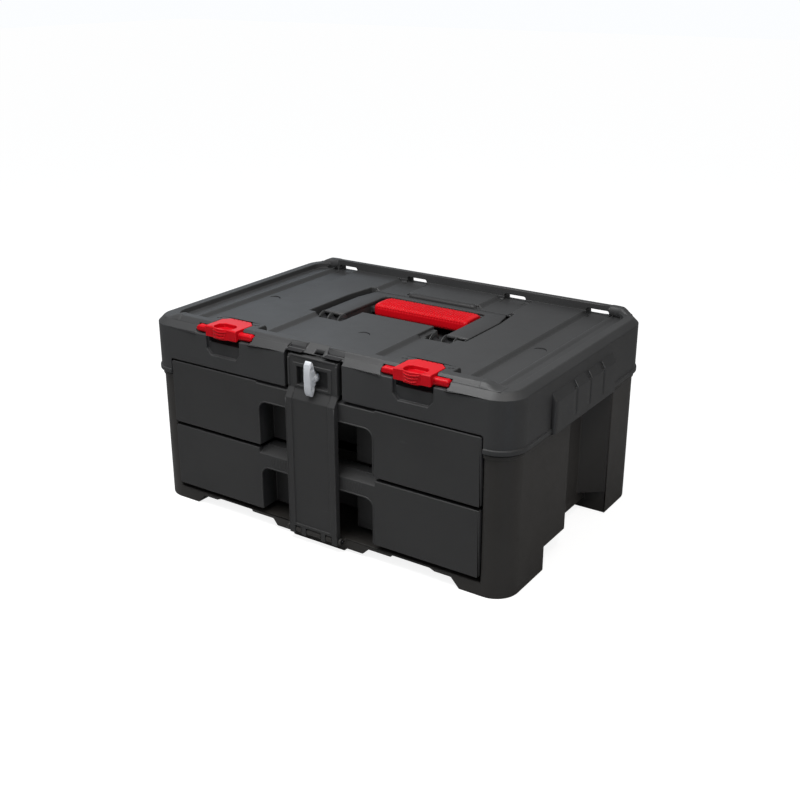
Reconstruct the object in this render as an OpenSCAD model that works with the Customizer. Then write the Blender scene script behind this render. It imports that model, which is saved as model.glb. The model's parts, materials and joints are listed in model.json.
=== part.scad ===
// Stackable tool box with two drawers, a folding carry handle, two lid latches
// and a front bar that folds down and lets the drawers out.
// +X is right, -Y is the front, +Z is up. The feet stand on Z = 0.
// Inside from_front(), y is the distance behind the lid's front face.

/* [Case] */
// Width over the lid skirt
case_w = 481; // [470:1:500]
// Depth over the lid skirt
case_d = 332; // [325:1:345]
// Radius of the lid's front corners in plan
front_r = 30; // [28:1:36]
// Radius of the lid's back corners in plan
back_r = 38; // [32:1:44]
// Moulded wall thickness
wall = 3; // [2.5:0.1:3.5]
// Height of the seam between lid and cabinet
seam_z = 161; // [158:1:164]
// Step from the lid skirt in to the cabinet wall
body_step = 3; // [2.5:0.1:4]

/* [Lid] */
// Height of the skirt's upper edge, where the chamfer starts
chamfer_z = 219; // [217:0.5:220]
// Height of the side rims
rim_z = 226; // [224:0.5:227]
// Height of the front lip and of the back rim
lip_z = 231; // [229:0.5:232]
// Height of the raised deck panels
deck_z = 221; // [220:0.5:222]
// Height of the sunken channel floors
channel_z = 217; // [216.5:0.1:217.5]
// Half width of the deck between the side rims
well_half = 223; // [218:1:224]
// Distance of the outer slots from the centre
outer_slot_x = 182.5; // [180:0.5:186]
// Distance of the inner slots from the centre
inner_slot_x = 72; // [70:0.5:76]
// Width of a slot through the back rim
slot_w = 29; // [24:1:32]

/* [Drawers] */
// Half width of the opening for the drawers
opening_half = 207.5; // [207:0.1:208]
// Half width of a drawer front
front_half = 206.5; // [205:0.5:206.5]
// Height of a drawer front
front_h = 76; // [74:1:76]
// Height of the lower drawer front's lower edge
lower_z = 22; // [21:0.5:23]
// Distance between the two drawers
drawer_pitch = 80; // [79:1:82]
// Half width of a hand pocket
pocket_half = 77; // [70:1:80]
// Height of a hand pocket
pocket_h = 54; // [48:1:56]
// Depth of a hand pocket
pocket_d = 25; // [20:1:28]
// Depth of the pocket's middle part behind the front bar
bar_pocket_d = 60; // [58:1:66]
// Half width of a drawer tray
tray_half = 192; // [190:0.5:193]
// Length of a drawer tray's back from the front face
tray_back = 300; // [290:1:305]
// Wall thickness of a tray
tray_wall = 2.5; // [2:0.1:3]

/* [Rails] */
// Half height of an outer rail
rail_half = 17.5; // [16:0.5:19]
// Sheet thickness of the rails
rail_t = 1.5; // [1.2:0.1:1.8]

/* [Handle] */
// Half width of the handle
handle_half = 101; // [98:1:103]
// Distance of the handle's hinge axis behind the front face
handle_axis_y = 151.5; // [150:0.5:153]
// Height of the handle's hinge axis
handle_axis_z = 206; // [205:0.5:207]
// Radius of the handle's hinge barrels
barrel_r = 8.5; // [8:0.1:9]
// Radius of the handle's hinge pins
handle_pin_r = 2.5; // [2:0.1:3]
// Distance of the handle's far edge behind the front face
handle_back = 256; // [250:1:260]

/* [Latches] */
// Distance of each latch from the centre
latch_x = 126; // [122:1:130]
// Width of a latch tab
latch_w = 44.5; // [42:0.5:45]
// Distance of a latch tab's far edge behind the front face
latch_back = 34; // [32:0.5:35]
// Half length of a latch's wing bar
wing_half = 40; // [36:1:42]
// Half height of a wing bar
wing_r = 4; // [3.8:0.1:4.1]
// Distance of the latch axis behind the front face
latch_y = 7; // [6.8:0.1:7.2]
// Height of the latch axis
latch_z = 223.6; // [223.4:0.1:223.8]
// Radius of a latch pin
latch_pin_r = 1.1; // [0.9:0.1:1.2]

/* [Front bar] */
// Half width of the front bar
bar_half = 33; // [31:0.5:34]
// Distance of the bar's face in front of the lid face
bar_face = 7; // [6:0.5:8]
// Height of the bar's top edge
bar_top = 220; // [218:0.5:220.5]
// Height of the bar's hinge axis
bar_axis_z = 14; // [13.5:0.5:15]
// Distance of the bar's hinge axis in front of the lid face
bar_axis_out = 3; // [2.5:0.5:3.5]
// Radius of the bar's hinge pin
bar_pin_r = 1.6; // [1.4:0.1:1.8]
// Height of the lock knob's axis
knob_z = 198.5; // [197.5:0.5:199]
// Reach of the knob in front of the lid face
knob_reach = 10.5; // [10:0.5:12]
// Height of the knob's grip plate
knob_h = 39; // [36:1:39]
// Thickness of the knob's grip plate
knob_t = 9.6; // [8:0.2:10]

/* [Hidden] */
$fn = 64;
bead = 1.5;                               // how far the beads at the seam stand out
front_y = -(case_d + bead - knob_reach) / 2; // the knob's tip and the lid's back are as far from Y = 0
fit = 0.06;                               // radial play of a hinge pin in its bore
over = 1;                                 // how far a cutting solid reaches past a face
body_w = case_w - 2 * body_step;
body_d = case_d - 2 * body_step;
sill_z = 16;                              // floor of the drawer opening
skirt_z = 180;                            // lid edge above the drawers
cheek = opening_half + wall;              // outer face of the wall that carries the rails
base_z = 14;                              // underside of the cabinet's floor
foot_x = 183;                             // inner edge of the corner feet
arch_y = [87, 247];                       // front and back end of the hand bay's lower arch
arch_z = 28;
hollow_z = 213.5;                         // top of the space inside the lid
tub = [108, 135, handle_back + 2.5, 190]; // handle recess: half width, front, back, floor
shelf_back = 264;                         // far edge of the low shelf behind the recess
taper_y = 212;                            // where the recess and the handle start to narrow
tongue = [55, 163];                       // deck tongue between the hinges: half width, back
notch_half = 38;                          // lid notch for the bar
notch_d = 12;
notch_top = 222;
cam_y = notch_d + wall + 0.5;             // front face of the cam, behind the notch wall
cam_half = 11;
cam_t = 3;
charcoal = [0.17, 0.17, 0.17];
red = [0.72, 0.04, 0.1];
steel = [0.6, 0.62, 0.65];
knob_grey = [0.8, 0.8, 0.82];

// ---- shared shapes ----
module from_front() translate([0, front_y, 0]) children();

module both() { children(); mirror([1, 0, 0]) children(); }

module block(x0, x1, y0, y1, z0, z1)
    translate([x0, y0, z0]) cube([x1 - x0, y1 - y0, z1 - z0]);

// rounded rectangle in plan, centred on x, with its front edge at y = 0
module rounded(w, d, r) {
    translate([-w / 2 + r, 0]) square([w - 2 * r, d]);
    translate([-w / 2, r]) square([w, d - 2 * r]);
    for (x = [-1, 1]) for (y = [r, d - r]) translate([x * (w / 2 - r), y]) circle(r);
}

// plan of the case drawn in by inset, with its own radii at the front and the back
module case_plan(inset) {
    w = case_w / 2 - inset;
    f = front_r - inset;
    b = back_r - inset;
    translate([-w, front_r]) square([2 * w, case_d - front_r - back_r]);
    translate([f - w, inset]) square([2 * (w - f), f + 0.01]);
    translate([b - w, case_d - back_r - 0.01]) square([2 * (w - b), b + 0.01]);
    for (x = [-1, 1]) {
        translate([x * (w - f), front_r]) circle(f);
        translate([x * (w - b), case_d - back_r]) circle(b);
    }
}

module slab(inset, z0, z1) translate([0, 0, z0]) linear_extrude(z1 - z0) case_plan(inset);

// a y-z outline drawn along x
module along_x(x0, x1) translate([x0, 0, 0]) rotate([90, 0, 90]) linear_extrude(x1 - x0) children();

// an x-z outline drawn along y
module along_y(y0, y1) translate([0, y1, 0]) rotate([90, 0, 0]) linear_extrude(y1 - y0) children();

module rod_x(x0, x1, y, z, r) translate([x0, y, z]) rotate([0, 90, 0]) cylinder(r = r, h = x1 - x0);

module rod_y(y0, y1, x, z, r) translate([x, y1, z]) rotate([90, 0, 0]) cylinder(r = r, h = y1 - y0);

// an opening outline with two round upper corners
module arch_shape(half, z0, z1, r) {
    translate([-half, z0]) square([2 * half, z1 - z0 - r]);
    translate([-half + r, z0]) square([2 * (half - r), z1 - z0]);
    for (x = [-1, 1]) translate([x * (half - r), z1 - r]) circle(r);
}

// ---- cabinet ----
boss_x = 222;
boss_y = [28, 300];

module hand_bay()
    translate([0, 0, -over]) linear_extrude(seam_z + over) polygon([
        [body_w / 2 + over, 134], [body_w / 2 - 3, 141], [body_w / 2 - 9, 152], [cheek + 5, 163],
        [cheek + 0.5, 173], [cheek + 0.5, 224], [body_w / 2 + over, arch_y[1] + 1]]);

module foot_gaps() {
    // stepped lower edge of the front band
    along_y(0, 21) for (s = [0, 1]) mirror([s, 0]) polygon([
        [foot_x, -over], [foot_x - 11, 11], [152, 11], [146, 13.5], [98, 13.5], [97, 11],
        [66, 11], [60, 3.5], [37, 3.5], [35, -over]]);
    block(-cheek, cheek, 20, arch_y[0], -over, 0);
    block(-foot_x, foot_x, 20, body_d - 20, -over, base_z);
    block(-foot_x, foot_x, body_d - 21, case_d, -over, 6);
    both() {
        block(cheek + 0.5, body_w, arch_y[0], arch_y[1], -over, arch_z);
        block(foot_x - over, cheek + over, arch_y[0], arch_y[1], -over, base_z);
    }
}

module bar_knuckles(r) for (x = [[-25, -17], [-10, 10], [17, 25], [-37, -33.6], [33.6, 37]]) {
    rod_x(x[0], x[1], -bar_axis_out, bar_axis_z, r);
    block(x[0], x[1], -bar_axis_out, body_step + over, bar_axis_z - r, bar_axis_z + 1.5);
}

module cabinet_shell() color(charcoal) from_front() difference() {
    union() {
        difference() {
            union() {
                slab(body_step, 0, seam_z);
                slab(body_step + 0.5, seam_z - over, seam_z + 11);
                slab(body_step - bead, seam_z - 5, seam_z - 1);
            }
            block(-opening_half, opening_half, -over, case_d - 2 * wall, sill_z, seam_z + 20);
            intersection() {
                slab(2 * wall, wall, seam_z + 20);
                both() for (y = [[0, 128], [251, case_d]]) block(cheek, case_w, y[0], y[1], 0, seam_z + 20);
            }
            both() hand_bay();
            foot_gaps();
        }
        both() for (y = boss_y) translate([boss_x, y, 1]) cylinder(r = 7, h = 175);
        bar_knuckles(4);
        // stops at the back, behind the trays
        both() block(150, 170, tray_back + 2, case_d - wall - 1, sill_z - 1, sill_z + 90);
    }
    both() for (y = boss_y) translate([boss_x, y, -over]) {
        cylinder(r = 4.6, h = 166 + over);
        cylinder(r = 2, h = 200);
    }
    both() for (z = rail_levels) for (y = rail_screw_y)
        rod_x(opening_half - over, cheek, y, z, 2);
    rod_x(-40, 40, -bar_axis_out, bar_axis_z, bar_pin_r);
}

// ---- lid ----
module front_lip() intersection() {
    along_x(-215, 215) polygon([[3, 221], [12, lip_z], [22, lip_z], [24, 219], [3, 219]]);
    along_y(0, 30) polygon([[-214, 218], [-200, lip_z], [200, lip_z], [214, 218]]);
}

module back_rim() intersection() {
    along_x(-215, 215) polygon([[case_d - 3, 221], [case_d - 8, lip_z], [case_d - 16, lip_z],
        [case_d - 19, 219], [case_d - 3, 219]]);
    along_y(case_d - 30, case_d) polygon([[-214, 218], [-202, lip_z], [202, lip_z], [214, 218]]);
}

module side_block() difference() {
    along_y(84, 229) polygon([[238, seam_z + 5], [245.5, seam_z + 5], [245.5, 198], [240, 204], [238, 204]]);
    for (y = [127, 161, 195]) translate([248.5, y, seam_z]) cylinder(r = 6, h = 60);
}

module deck_cuts() {
    translate([0, 22, deck_z]) linear_extrude(20) rounded(2 * well_half, case_d - 38, 24);
    // lower floor beside the side rims
    both() translate([0, 0, deck_z - 1.5]) linear_extrude(20) intersection() {
        translate([0, 22]) rounded(2 * well_half, case_d - 38, 24);
        translate([204, 0]) square([40, case_d]);
    }
    both() {
        block(50, 97, 26, case_d - 17, channel_z, lip_z);
        block(167, 202, 26, case_d - 17, channel_z, lip_z);
    }
    difference() {
        translate([0, 0, tub[3]]) linear_extrude(lip_z - tub[3]) polygon([[-tub[0], tub[1]],
            [tub[0], tub[1]], [tub[0], taper_y], [tub[0] - 5, tub[2]], [5 - tub[0], tub[2]],
            [-tub[0], taper_y]]);
        block(-tongue[0], tongue[0], tub[1] - over, tongue[1], tub[3] - over, lip_z + over);
    }
    // bays in front of the hinge ribs, and the low shelf behind the recess
    both() block(58, 92, tub[1] - 5, tub[1] + over, 205, lip_z);
    block(-51, 51, tub[2] - over, shelf_back, channel_z, lip_z);
    both() for (x = [outer_slot_x, inner_slot_x])
        along_y(case_d - 28, case_d + over) translate([x, 0]) arch_shape(slot_w / 2, 216, 224, 3);
}

module lid_hollow() difference() {
    union() {
        slab(wall, seam_z - over, hollow_z);
        // pockets under the raised panels
        block(-46, 46, 30, tub[1] - 10, hollow_z - over, deck_z - wall);
        block(-46, 46, shelf_back + 4, case_d - 26, hollow_z - over, deck_z - wall);
        both() block(tub[0] + 5, 163, 40, case_d - 26, hollow_z - over, deck_z - wall);
    }
    block(-tub[0] - wall, tub[0] + wall, tub[1] - 5 - wall, tub[2] + wall, tub[3] - wall, 240);
    block(-notch_half - wall, notch_half + wall, 0, notch_d + wall, skirt_z, 240);
    both() {
        block(latch_x - 29, latch_x + 29, 0, 8, 190, 240);
        block(latch_x - 29, latch_x + 29, 0, 24, 206, 240);
        for (y = boss_y) translate([boss_x, y, 176]) cylinder(r = 6, h = 60);
    }
}

// plan of a latch tab, with its far corners cut off, grown by g
module latch_plan(g) translate([latch_x, 0]) polygon([[-latch_w / 2 - g, -20], [latch_w / 2 + g, -20],
    [latch_w / 2 + g, latch_back - 7.5], [latch_w / 2 - 8 + g, latch_back + g],
    [8 - latch_w / 2 - g, latch_back + g], [-latch_w / 2 - g, latch_back - 7.5]]);

// front view of a wing bar, grown by g
module wing_shape(g) translate([latch_x, latch_z - wing_r - g])
    rounded(2 * (wing_half + g), 2 * (wing_r + g), wing_r + g - 0.2);

module latch_cut() {
    // slot for the wings
    along_y(-over, latch_y) wing_shape(0.9);
    rod_x(latch_x - wing_half - 0.9, latch_x + wing_half + 0.9, latch_y, latch_z, wing_r + 0.9);
    // pocket that the tab's front end turns in
    rod_x(latch_x - latch_w / 2 - 0.6, latch_x + latch_w / 2 + 0.6, latch_y, latch_z, 13.4);
    translate([0, 0, 227]) linear_extrude(20) latch_plan(0.6);
    rod_x(latch_x - wing_half - 4, latch_x + wing_half + 4, latch_y, latch_z, latch_pin_r);
    // finger scoop in the skirt
    along_y(-over, 4) polygon([[latch_x - 24, 226], [latch_x - 24, 203], [latch_x - 18, 196],
        [latch_x + 18, 196], [latch_x + 24, 203], [latch_x + 24, 226]]);
}

module bar_notch() {
    block(-notch_half, notch_half, -over, notch_d, skirt_z - 10, notch_top);
    // keyhole for the cam
    block(-cam_half - 2, cam_half + 2, notch_d - over, notch_d + wall + over, knob_z - 6.5, knob_z + 6.5);
    // thumb ramp above the bar
    along_x(-14, 14) polygon([[-over, notch_top], [4, notch_top], [17, lip_z + 0.5],
        [17, lip_z + 3], [-over, lip_z + 3]]);
    block(-1.5, 9.5, 5.5, 10.5, notch_top - over, notch_top + 5);
    // steep cheeks beside the ramp, above a thin ledge
    both() intersection() {
        along_x(14, 40) polygon([[-over, notch_top + 1.8], [8, notch_top + 1.8], [12, lip_z + 0.5],
            [-over, lip_z + 0.5]]);
        along_y(-over, 20) polygon([[0, notch_top + 1], [notch_half, notch_top + 1],
            [notch_half - 4, lip_z + 1], [0, lip_z + 1]]);
    }
}

module lid_cover() color(charcoal) from_front() difference() {
    union() {
        difference() {
            union() {
                slab(0, seam_z, chamfer_z);
                slab(-bead, seam_z + 1, seam_z + 6);
                hull() {
                    slab(0, chamfer_z - 0.1, chamfer_z);
                    slab(rim_z - chamfer_z, rim_z - 0.1, rim_z);
                }
                front_lip();
                back_rim();
                both() side_block();
            }
            deck_cuts();
        }
        // platforms behind the latches
        both() along_x(latch_x - 34, latch_x + 34)
            polygon([[18, channel_z - over], [latch_back + 4, channel_z - over], [latch_back + 4, 228],
                [latch_back + 1.5, lip_z], [18, lip_z]]);
    }
    lid_hollow();
    both() latch_cut();
    bar_notch();
    // opening above the drawers
    along_y(-3 * over, 12) arch_shape(opening_half, seam_z - 10, skirt_z, 3);
    both() rod_x(tongue[0] - 10, tub[0] + 7, handle_axis_y, handle_axis_z, handle_pin_r);
    both() for (y = boss_y) translate([boss_x, y, 170]) cylinder(r = 2, h = 24);
}

module lid_screws() color(steel) from_front() both() for (y = boss_y) translate([boss_x, y, 0]) {
    translate([0, 0, 166]) cylinder(r = 2, h = 26);
    translate([0, 0, 163]) cylinder(r = 4, h = 3);
}

// ---- rails ----
rail_levels = [lower_z + 35, lower_z + 35 + drawer_pitch];
rail_screw_y = [40, 260];

module outer_rail(level) color(steel) from_front() difference() {
    along_y(10, tray_back - 5) difference() {
        translate([opening_half - 11, level - rail_half]) square([11, 2 * rail_half]);
        translate([opening_half - 11 - over, level - rail_half + rail_t])
            square([11 + over - rail_t, 2 * (rail_half - rail_t)]);
    }
    for (y = rail_screw_y) rod_x(opening_half - 5, opening_half + over, y, level, 2);
}

module inner_rail(level) color(steel) from_front() along_y(8.6, tray_back - 6) difference() {
    translate([tray_half, level - 15]) square([12, 30]);
    translate([tray_half + rail_t, level - 15 + rail_t]) square([12, 30 - 2 * rail_t]);
}

module rail_screws() color(steel) from_front() both()
    for (z = rail_levels) for (y = rail_screw_y) {
        rod_x(opening_half - rail_t, cheek, y, z, 2);
        rod_x(opening_half - rail_t - 1.5, opening_half - rail_t, y, z, 3.5);
    }

module upper_left_outer_rail() mirror([1, 0, 0]) outer_rail(rail_levels[1]);
module upper_right_outer_rail() outer_rail(rail_levels[1]);
module lower_left_outer_rail() mirror([1, 0, 0]) outer_rail(rail_levels[0]);
module lower_right_outer_rail() outer_rail(rail_levels[0]);
module upper_left_inner_rail() mirror([1, 0, 0]) inner_rail(rail_levels[1]);
module upper_right_inner_rail() inner_rail(rail_levels[1]);
module lower_left_inner_rail() mirror([1, 0, 0]) inner_rail(rail_levels[0]);
module lower_right_inner_rail() inner_rail(rail_levels[0]);

// ---- drawers ----
front_screws = [[110, 18], [110, 56], [180, 18], [180, 56]];

// z is the front's lower edge, and slope how far its middle top edge is bevelled down
module drawer_front(z, slope) color(charcoal) from_front() difference() {
    union() {
        along_y(0, 6) translate([0, z]) rounded(2 * front_half, front_h, 2.5);
        block(-pocket_half - wall, pocket_half + wall, 0, pocket_d + wall, z, z + front_h);
        block(-bar_half - 8, bar_half + 8, 0, bar_pocket_d + wall, z, z + pocket_h + wall);
    }
    along_y(-over, pocket_d) arch_shape(pocket_half, z - over, z + pocket_h, 11);
    // finger room behind the pull band
    block(-pocket_half + 6, pocket_half - 6, 5, pocket_d, z + pocket_h - 20, z + front_h - 9);
    block(-bar_half - 5, bar_half + 5, -over, bar_pocket_d, z - over, z + pocket_h);
    along_x(-pocket_half - 2, pocket_half + 2) polygon([[-over, z + front_h - slope], [0, z + front_h - slope],
        [2.4 * slope, z + front_h - 0.5], [2.4 * slope, z + front_h + over], [-over, z + front_h + over]]);
    both() for (s = front_screws) rod_y(3.5, 7, s[0], z + s[1], 1.5);
}

module drawer_tray(z) color(charcoal) from_front() difference() {
    block(-tray_half, tray_half, 6, tray_back, z + 2, z + 68);
    difference() {
        block(-tray_half + tray_wall, tray_half - tray_wall, 6 + tray_wall, tray_back - tray_wall,
            z + 2 + tray_wall, z + 70);
        block(-pocket_half - wall - tray_wall, pocket_half + wall + tray_wall, 0,
            pocket_d + wall + tray_wall, z, z + 72);
        block(-bar_half - 8 - tray_wall, bar_half + 8 + tray_wall, 0,
            bar_pocket_d + wall + tray_wall, z, z + 72);
    }
    block(-pocket_half - wall, pocket_half + wall, 0, pocket_d + wall, z, z + 80);
    block(-bar_half - 8, bar_half + 8, 0, bar_pocket_d + wall, z, z + 80);
    both() for (s = front_screws) rod_y(5, 10, s[0], z + s[1], 1.5);
}

module drawer_screws(z) color(steel) from_front() both() for (s = front_screws) {
    rod_y(3.5, 6 + tray_wall, s[0], z + s[1], 1.5);
    rod_y(6 + tray_wall, 8 + tray_wall, s[0], z + s[1], 3);
}

module upper_drawer_front() drawer_front(lower_z + drawer_pitch, 2);
module lower_drawer_front() drawer_front(lower_z, 6);
module upper_drawer_tray() drawer_tray(lower_z + drawer_pitch);
module lower_drawer_tray() drawer_tray(lower_z);
module upper_front_screws() drawer_screws(lower_z + drawer_pitch);
module lower_front_screws() drawer_screws(lower_z);

// ---- handle ----
module handle_core() block(-75, 75, 214, 247, 204, 211);

module handle_frame() color(charcoal) from_front() difference() {
    intersection() {
        handle_solid();
        linear_extrude(300) polygon([[-handle_half, 0], [handle_half, 0], [handle_half, taper_y + 12],
            [handle_half - 7, handle_back + over], [7 - handle_half, handle_back + over],
            [-handle_half, taper_y + 12]]);
    }
    rod_x(-110, 110, handle_axis_y, handle_axis_z, handle_pin_r + fit);
}

module handle_solid() {
    both() {
        along_x(73, handle_half) polygon([[handle_axis_y + 4, 199], [handle_axis_y + 4, 214.5],
            [handle_back - 3, 214.5], [handle_back, 212], [handle_back, 202], [handle_back - 3, 199]]);
        // a slim barrel that carries thin round ribs
        rod_x(55.5, handle_half, handle_axis_y, handle_axis_z, barrel_r - 4);
        for (x = [55.5, 71, 86, handle_half - 2])
            rod_x(x, x + 2, handle_axis_y, handle_axis_z, barrel_r);
    }
    along_x(-75, 75) polygon([[245, 199], [245, 214.5], [handle_back - 3, 214.5],
        [handle_back, 212], [handle_back, 202], [handle_back - 3, 199]]);
    handle_core();
}

module handle_grip() color(red) from_front() difference() {
    along_x(-66, 66) polygon([[212, 200], [208, 204], [208, 213], [213, 218], [242, 218], [245, 215],
        [245, 200]]);
    handle_core();
}

module handle_pins() color(steel) from_front() both()
    rod_x(tongue[0] - 10, tub[0] + 7, handle_axis_y, handle_axis_z, handle_pin_r);

// ---- latches ----
module latch() color(red) from_front() difference() {
    union() {
        // wing bar with flat sides
        intersection() {
            along_x(latch_x - wing_half, latch_x + wing_half) translate([latch_y, latch_z]) polygon([
                [-wing_r, -2.3], [-2.3, -wing_r], [2.3, -wing_r], [wing_r, -2.3],
                [wing_r, 2.3], [2.3, wing_r], [-2.3, wing_r], [-wing_r, 2.3]]);
            along_y(0, 20) wing_shape(0);
        }
        intersection() {
            along_x(latch_x - latch_w / 2, latch_x + latch_w / 2) polygon([[-2, 218.5], [-2, 230],
                [-1, lip_z], [latch_back, lip_z], [latch_back, 227.4], [19, 227.4], [12, 221.5],
                [9, 219.8], [2, 219.8], [0.8, 218.5]]);
            linear_extrude(300) latch_plan(0);
        }
        // nose that bulges forward
        intersection() {
            translate([latch_x, 20, 218.5]) cylinder(r = 24.6, h = lip_z - 218.5);
            block(latch_x - 15, latch_x + 15, -10, -over, 218, 240);
        }
    }
    // dish for a fingertip
    translate([latch_x, -1.6, 226.5]) linear_extrude(10) rounded(26.5, 17, 7);
    rod_x(latch_x - 50, latch_x + 50, latch_y, latch_z, latch_pin_r + fit);
}

module latch_pin() color(steel) from_front()
    rod_x(latch_x - wing_half - 4, latch_x + wing_half + 4, latch_y, latch_z, latch_pin_r);

module latch_left() mirror([1, 0, 0]) latch();
module latch_right() latch();
module latch_left_pin() mirror([1, 0, 0]) latch_pin();
module latch_right_pin() latch_pin();

// ---- front bar and lock ----
plate_screws = [[22, 44], [22, 104], [22, 164]];

module front_bar() color(charcoal) from_front() difference() {
    union() {
        along_x(-bar_half, bar_half) polygon([[-bar_face, 9], [-bar_face, 172], [0, 183],
            [0, bar_top - 2], [2, bar_top], [8.5, bar_top], [8.5, 186], [-0.5, 178], [-0.5, 9]]);
        // frame round the window, and a raised strip along each side
        along_y(-1, 0.5) difference() {
            translate([-25.4, 184.5]) square([50.8, 27]);
            translate([-20.5, 187]) square([41, 20.5]);
        }
        both() block(bar_half - 2.5, bar_half, -1, 0.5, 184, 216);
    }
    // sunken panel between two side strips
    along_x(-24, 24) polygon([[-bar_face - over, 22], [-bar_face + 1.2, 22], [-bar_face + 1.2, 171.6],
        [0, 182.2], [-2, 184], [-bar_face - over, 184]]);
    difference() {
        union() {
            block(-bar_half + 3, bar_half - 3, -bar_face + 2.8, -2.3, 26, 171);
            block(-bar_half + 3, bar_half - 3, -2.4, 0, 26, 174);
        }
        both() for (s = plate_screws) rod_y(-bar_face, -2.2, s[0], s[1], 3.2);
    }
    both() for (s = plate_screws) rod_y(-bar_face + 3, 0, s[0], s[1], 1.2);
    block(-20.5, 20.5, -2, 6, 187, 207.5);
    rod_y(0, 10, 0, knob_z, 4 + fit);
    for (x = [[-25.4, -16.6], [-10.4, 10.4], [16.6, 25.4]])
        block(x[0], x[1], -bar_face - over, over, 0, bar_axis_z + 4.6);
    rod_x(-40, 40, -bar_axis_out, bar_axis_z, bar_pin_r + fit);
}

module bar_back_plate() color(charcoal) from_front() difference() {
    block(-bar_half + 3.2, bar_half - 3.2, -2.2, -0.5, 26.2, 173.8);
    both() for (s = plate_screws) rod_y(-3, 0, s[0], s[1], 1.2);
}

module bar_plate_screws() color(steel) from_front() both() for (s = plate_screws)
    rod_y(-bar_face + 3, -0.5, s[0], s[1], 1.2);

module bar_hinge_pin() color(steel) from_front() rod_x(-38.4, 38.4, -bar_axis_out, bar_axis_z, bar_pin_r);

module lock_knob() color(knob_grey) from_front() difference() {
    union() {
        // grip plate: an upright plate with rounded ends
        translate([-knob_t / 2, -knob_reach, knob_z]) rotate([0, 90, 0])
            linear_extrude(knob_t) rounded(knob_h, knob_reach - 1.3, 4.5);
        rod_y(-2, 5.6, 0, knob_z, 6.2);
        rod_y(5, cam_y, 0, knob_z, 4);
    }
    rod_y(2, 30, 0, knob_z, 1.5);
}

module knob_cam() color(steel) from_front() difference() {
    union() {
        block(-cam_half + 4, cam_half - 4, cam_y, cam_y + cam_t, knob_z - 4, knob_z + 4);
        for (x = [-1, 1]) rod_y(cam_y, cam_y + cam_t, x * (cam_half - 4), knob_z, 4);
    }
    rod_y(0, 30, 0, knob_z, 1.5);
}

module knob_screw() color(steel) from_front() {
    rod_y(2, cam_y + cam_t, 0, knob_z, 1.5);
    rod_y(cam_y + cam_t, cam_y + cam_t + 1.6, 0, knob_z, 3);
}

cabinet_shell();
lid_cover();
lid_screws();
upper_left_outer_rail();
upper_right_outer_rail();
lower_left_outer_rail();
lower_right_outer_rail();
upper_left_inner_rail();
upper_right_inner_rail();
lower_left_inner_rail();
lower_right_inner_rail();
rail_screws();
upper_drawer_front();
upper_drawer_tray();
upper_front_screws();
lower_drawer_front();
lower_drawer_tray();
lower_front_screws();
handle_frame();
handle_grip();
handle_pins();
latch_left();
latch_right();
latch_left_pin();
latch_right_pin();
front_bar();
bar_back_plate();
bar_plate_screws();
bar_hinge_pin();
lock_knob();
knob_cam();
knob_screw();
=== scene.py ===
import json
import math

import bmesh
import bpy
import numpy as np
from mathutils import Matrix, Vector


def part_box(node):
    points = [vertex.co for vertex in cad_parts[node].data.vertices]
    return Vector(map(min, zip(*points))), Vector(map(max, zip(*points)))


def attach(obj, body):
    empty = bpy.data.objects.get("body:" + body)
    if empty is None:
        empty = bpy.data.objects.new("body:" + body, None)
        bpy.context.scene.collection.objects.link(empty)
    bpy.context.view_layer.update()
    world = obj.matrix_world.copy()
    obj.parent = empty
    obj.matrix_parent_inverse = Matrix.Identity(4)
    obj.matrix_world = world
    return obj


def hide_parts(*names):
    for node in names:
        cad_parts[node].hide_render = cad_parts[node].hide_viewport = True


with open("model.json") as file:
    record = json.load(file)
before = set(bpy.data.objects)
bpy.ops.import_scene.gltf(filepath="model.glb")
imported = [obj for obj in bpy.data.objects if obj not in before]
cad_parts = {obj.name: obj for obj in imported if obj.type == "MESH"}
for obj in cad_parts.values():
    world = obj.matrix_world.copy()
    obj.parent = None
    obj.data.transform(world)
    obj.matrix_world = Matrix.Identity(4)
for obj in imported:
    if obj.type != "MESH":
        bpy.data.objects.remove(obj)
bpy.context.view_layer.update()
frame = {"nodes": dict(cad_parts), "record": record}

MM = 0.001
BODY_OF = {n: b for b, nodes in frame["record"]["behaviour"]["bodies"].items() for n in nodes}
FRONT_Y = -161.5          # the lid's front face, in millimetres along Y
SIDES = {-1: "left", 1: "right"}

# Places on the box, in millimetres: x from the middle, y behind the lid's front face, z above the floor.
LATCH_X = 126             # the middle of each latch
HINGE_Y, HINGE_Z = 151.5, 206     # the handle's hinge axis
KNOB_Z = 198.5            # the lock knob's axis
GROOVES_Y = (130, 164, 198)       # where the grooves in the side blocks step back out
BLOCK_BEND_Z = 197        # above this the side blocks slope inwards
DECK_Z, PANEL_Z = 217.0, 220.93   # marks lie at these heights on the deck's low and raised parts
UNDER_DECK_Z = 215.8      # below the deck's surface, where the slopes' sections are closed

# Numbers of the grain that every moulded piece shares.
GRAIN_SCALE = 1400.0      # noise cells to a metre
GRAIN_RIPPLE = 0.3        # the slow ripple's share of the height

# ------------------------------------------------------------------ shader groups


def new_group(name, inputs, outputs):
    """An empty shader group with named value inputs and named outputs."""
    g = bpy.data.node_groups.new(name, "ShaderNodeTree")
    for label, kind, value in inputs:
        s = g.interface.new_socket(label, in_out="INPUT", socket_type=kind)
        if value is not None:
            s.default_value = value
    for label, kind in outputs:
        g.interface.new_socket(label, in_out="OUTPUT", socket_type=kind)
    return g, g.nodes.new("NodeGroupInput"), g.nodes.new("NodeGroupOutput")


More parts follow.
